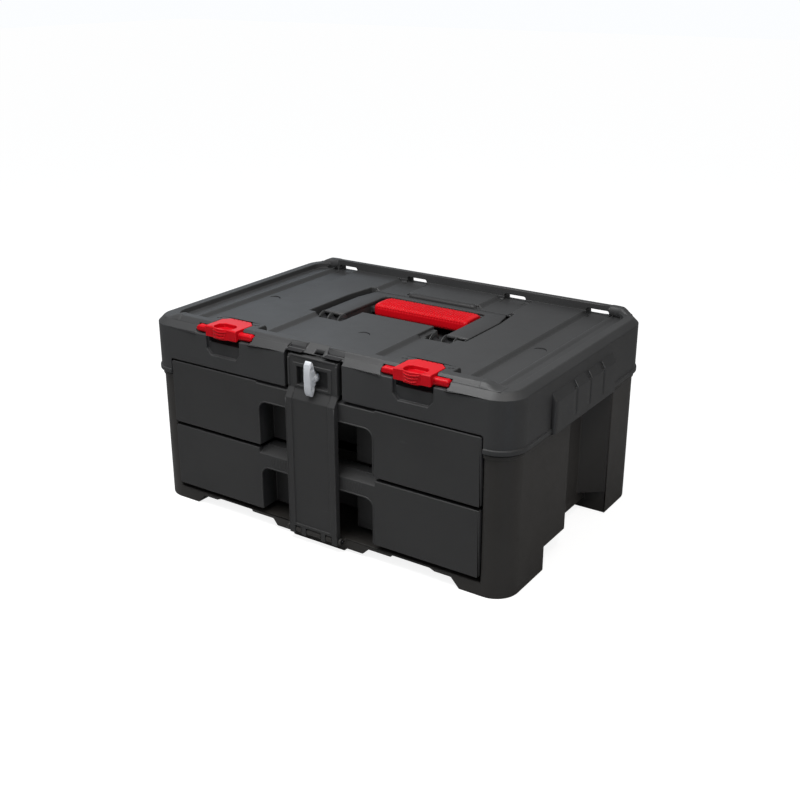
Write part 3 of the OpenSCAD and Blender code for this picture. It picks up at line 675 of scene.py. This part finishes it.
def handle_plate():
    """The handle's top plate, round its window: a section carried from one arm's front end along the back
    to the other's, between an outer and an inner outline. Both its upper edges are let in by 0.35 mm and
    1.1 mm as they rise the last 0.9 mm."""
    counts = (16, 14, 5, 5, 34)       # points along each straight part of an outline
    outer = [(100.6, 153), (100.6, 224), (94.6, 252), (93.4, 254.9), (90.5, 255.9), (0, 255.9)]
    inner = [(72.2, 153), (72.2, 224), (72.2, 238), (70.6, 243.6), (66, 246), (0, 246)]

    def walk(knots):
        legs = [straight(a, b, n + 1)[:-1] for a, b, n in zip(knots[:-1], knots[1:], counts)]
        half = np.concatenate(legs + [np.array(knots[-1:], float)])
        return np.concatenate([half, (half * [-1, 1])[::-1][1:]])

    o, i = walk(outer), walk(inner)
    n = (i - o) / np.linalg.norm(i - o, axis=1, keepdims=True)
    ease = ((0, 213.8), (0, 216.5), (0.35, 217.15), (1.1, 217.4))
    points = [np.column_stack([o + n * d, np.full(len(o), z)]) for d, z in ease]
    points += [np.column_stack([i - n * d, np.full(len(i), z)]) for d, z in ease[::-1]]
    return finish_piece(tube("handle_top_plate", np.stack(points, 1), LID), PLASTIC, "handle")


def hinge_ribs():
    """The thin round ribs of the handle's hinges: discs of radius 11.4, whose rim falls to 10.7 over the
    last 0.7 mm towards either face."""
    thickness = 1.8
    parts = []
    for side in (-1, 1):
        for x in (55.6, 71.1, 86.1, 99.0):
            path = straight((side * x, HINGE_Y, HINGE_Z), (side * (x + thickness), HINGE_Y, HINGE_Z), 6)
            parts.append(bead(path, [10.7, 11.2, 11.4, 11.4, 11.2, 10.7], 56))
    return finish_piece(tubes("hinge_ribs", parts, LID), PLASTIC, "handle")


def notch_cheek_shade():
    """Painted shade on the steep cheeks beside the thumb ramp: a thin near-black outline over the cheek's
    own, in y and z, carried along x."""
    outline = np.array([(-0.4, 223.5), (-0.4, 223.95), (7.8, 223.95), (8.1, 224.2), (11.85, 230.9),
                        (12.3, 230.6), (8.5, 223.5)])
    parts = []
    for side in (-1, 1):
        x = np.linspace(14.4, 35.4, 8)[:, None]
        parts.append(np.stack(np.broadcast_arrays(side * x, outline[:, 0], outline[:, 1]), -1))
    return finish_piece(tubes("notch_cheek_shade", parts, DARK), PLASTIC, "case")


def recess_shadow_line():
    """Painted shade at the bottom of the narrow gap behind the handle: a near-black round bead along the
    recess's far wall.
    """
    path = straight((-95, 257.9, 215.8), (95, 257.9, 215.8), 24)
    return finish_piece(tube("recess_gap_shade", bead(path, 1.15, 10), DARK), PLASTIC, "case")


def mould_marks():
    """Round witness marks of the ejector pins in the deck. The rear half of each ring, 16 mm across, is a
    near-black bead as painted shade of the shallow ring, and the bead thickens towards its middle as a sine."""
    radius, bead_radius = 8, 0.95
    a = np.linspace(0.06 * np.pi, 0.94 * np.pi, 60)
    parts = []
    for x, y in ((-184, 160), (0, 92), (184, 162)):
        deck = DECK_Z if x else PANEL_Z
        path = np.stack([x + radius * np.cos(a), y + radius * np.sin(a), np.full(60, deck)], -1)
        parts.append(bead(path, bead_radius * np.sin(np.linspace(0.08, np.pi - 0.08, 60)), 8))
    return finish_piece(tubes("deck_mould_mark_shade", parts, DARK), PLASTIC, "case")


def lip_dashes():
    """Pairs of short dark dashes on the lip, on both sides of each latch, as painted shade of small notches
    there: straight oblique beads.
    """
    z = 230.8
    parts = []
    for side in (-1, 1):
        for x in (-27.5, 27.5):
            for dx, dy in ((-1.6, 0.0), (1.8, 1.4)):
                at_x = side * LATCH_X + x + dx
                parts.append(bead(straight((at_x - 1.6, 26.5 + dy, z), (at_x + 1.4, 28.2 + dy, z), 7),
                                  rounded_ends(7, 0.7, 3.4), 8))
    return finish_piece(tubes("lip_dashes", parts, DARK), PLASTIC, "case")


def plateau_roll():
    """The rolled front edge of the deck panel behind the handle: a bead that stands proud of the deck, in
    darker charcoal as painted shade of the recess's back wall.
    """
    half, y, z = 49, 262.7, 216.9
    roll = bead(straight((-half, y, z), (half, y, z), 40), rounded_ends(40, 4.2, 2 * half), 24)
    return finish_piece(tube("plateau_roll", roll, ROLL), PLASTIC, "case")


def rim_ridge():
    """The thin ridge along the top of the back rim, split beside each slot."""
    cuts = [-202, -168, -86, -58, 58, 86, 168, 202]
    gap, y, z = 0.8, 317.2, 230.4
    parts = []
    for a, b in zip(cuts[:-1], cuts[1:]):
        n = max(6, int((b - a) / 6))
        path = straight((a + gap, y, z), (b - gap, y, z), n)
        parts.append(bead(path, rounded_ends(n, 0.9, b - a), 8))
    return finish_piece(tubes("back_rim_ridge", parts, ROLL), PLASTIC, "case")


def bar_beads():
    """The rounded bead along the front bar's top edge, and a thin bead down both of its sides."""
    parts = [bead(straight((-31.5, 0.9, 219.0), (31.5, 0.9, 218.4), 24), rounded_ends(24, 1.5, 63), 14)]
    for side in (-1, 1):
        parts.append(bead([(side * 32.2, -6.7, z) for z in np.linspace(20, 170.8, 20)], 0.75, 10, (0, 1, 0)))
    return finish_piece(tubes("bar_beads", parts, DRAWER), PLASTIC, "bar")


knob_piece()
for side in (-1, 1):
    latch_ridges(side)
    latch_back_notches(side)
    side_grip(side)
shade_hinge_pockets()
pull_band_ribs()
pocket_bead("upper", 102)
pocket_bead("lower", 22)
channel_slopes()
grip_edges()
lip_ends()
handle_plate()
hinge_ribs()
notch_cheek_shade()
recess_shadow_line()
mould_marks()
lip_dashes()
plateau_roll()
rim_ridge()
bar_beads()

# ------------------------------------------------------------------ camera, light and floor


def light(name, place_m, aim_m, size, power, colour=(1, 1, 1)):
    """A rectangular area lamp that faces its aim; places and sizes in metres, power in watts."""
    data = bpy.data.lights.new(name, "AREA")
    data.shape = "RECTANGLE"
    data.size, data.size_y = size
    data.energy = power
    data.color = colour
    lamp = bpy.data.objects.new(name, data)
    lamp.location = place_m
    lamp.rotation_euler = (Vector(place_m) - Vector(aim_m)).to_track_quat("Z", "Y").to_euler()
    bpy.context.scene.collection.objects.link(lamp)


def studio():
    """The camera, whose numbers come from a fit to the photograph; a world of strength 1 for the camera
    that gives 0.2 from below to 0.5 from above elsewhere; six area lamps; and the floor."""
    scene = bpy.context.scene
    cam = bpy.data.cameras.new("photo_camera")
    cam.lens, cam.sensor_width = 50.26, 36.0
    cam.shift_x, cam.shift_y = 0.0015, -0.0053
    eye = bpy.data.objects.new("photo_camera", cam)
    eye.location = (0.6895, FRONT_Y * MM - 0.8726, 0.6076)
    eye.rotation_euler = Vector((0.51594, -0.77655, 0.36162)).to_track_quat("Z", "Y").to_euler()
    scene.collection.objects.link(eye)
    scene.camera = eye

    world = bpy.data.worlds.new("studio")
    scene.world = world
    world.use_nodes = True
    t = world.node_tree
    back = t.nodes["Background"]
    path = t.nodes.new("ShaderNodeLightPath")
    coord = t.nodes.new("ShaderNodeTexCoord")
    dot = t.nodes.new("ShaderNodeVectorMath")
    dot.operation = "DOT_PRODUCT"
    dot.inputs[1].default_value = (-0.3, -0.1, 0.95)
    t.links.new(coord.outputs["Generated"], dot.inputs[0])
    level = ramp_node(t, dot.outputs["Value"], -0.4, 0.95, 0.2, 0.5)
    strength = t.nodes.new("ShaderNodeMix")
    strength.inputs["B"].default_value = 1.0
    t.links.new(path.outputs["Is Camera Ray"], strength.inputs["Factor"])
    t.links.new(level, strength.inputs["A"])
    back.inputs["Color"].default_value = (0.97, 0.985, 1.0, 1)
    t.links.new(strength.outputs["Result"], back.inputs["Strength"])

    light("key_softbox", (-0.9, -1.3, 1.7), (0, 0, 0.1), (1.2, 1.2), 4.1)
    light("overhead_softbox", (-0.08, -0.32, 0.85), (0.0, -0.06, 0.2), (0.4, 0.4), 6.5)
    light("deck_sheen", (-0.95, 0.85, 0.8), (-0.1, -0.05, 0.22), (0.5, 0.4), 0.75, (0.7, 0.85, 1.0))
    light("right_overhead", (0.6, -0.35, 0.95), (0.2, -0.05, 0.2), (0.3, 0.3), 2.7, (1.0, 0.97, 0.92))
    light("right_strip", (1.6, 0.1, 0.7), (0.2, 0, 0.15), (0.5, 1.2), 2.9, (1.0, 0.92, 0.84))
    light("corner_strip", (1.15, -0.7, 0.1), (0.22, -0.12, 0.12), (0.12, 0.3), 1.0, (0.6, 0.75, 1.0))

    floor = make_mesh("floor", np.array([[-9, -9, 0], [9, -9, 0], [9, 9, 0], [-9, 9, 0]], float),
                      [[0, 1, 2, 3]], floor_material())
    scene.view_settings.view_transform = "Standard"


def floor_material():
    """Pale matt floor: it gives off light where the camera sees it, so that it shows almost white, and
    is a plain grey to all other rays."""
    m = bpy.data.materials.new("pale_floor")
    m.use_nodes = True
    t = m.node_tree
    seen = t.nodes["Principled BSDF"]
    seen.inputs["Base Color"].default_value = (0.3, 0.3, 0.3, 1)
    seen.inputs["Roughness"].default_value = 1.0
    seen.inputs["Specular IOR Level"].default_value = 0.0
    seen.inputs["Emission Color"].default_value = (1, 1, 1, 1)
    seen.inputs["Emission Strength"].default_value = 0.86
    dull = t.nodes.new("ShaderNodeBsdfDiffuse")
    dull.inputs["Color"].default_value = (0.4, 0.4, 0.4, 1)
    path = t.nodes.new("ShaderNodeLightPath")
    mix = t.nodes.new("ShaderNodeMixShader")
    t.links.new(path.outputs["Is Camera Ray"], mix.inputs[0])
    t.links.new(dull.outputs[0], mix.inputs[1])
    t.links.new(seen.outputs[0], mix.inputs[2])
    t.links.new(mix.outputs[0], t.nodes["Material Output"].inputs["Surface"])
    return m


studio()
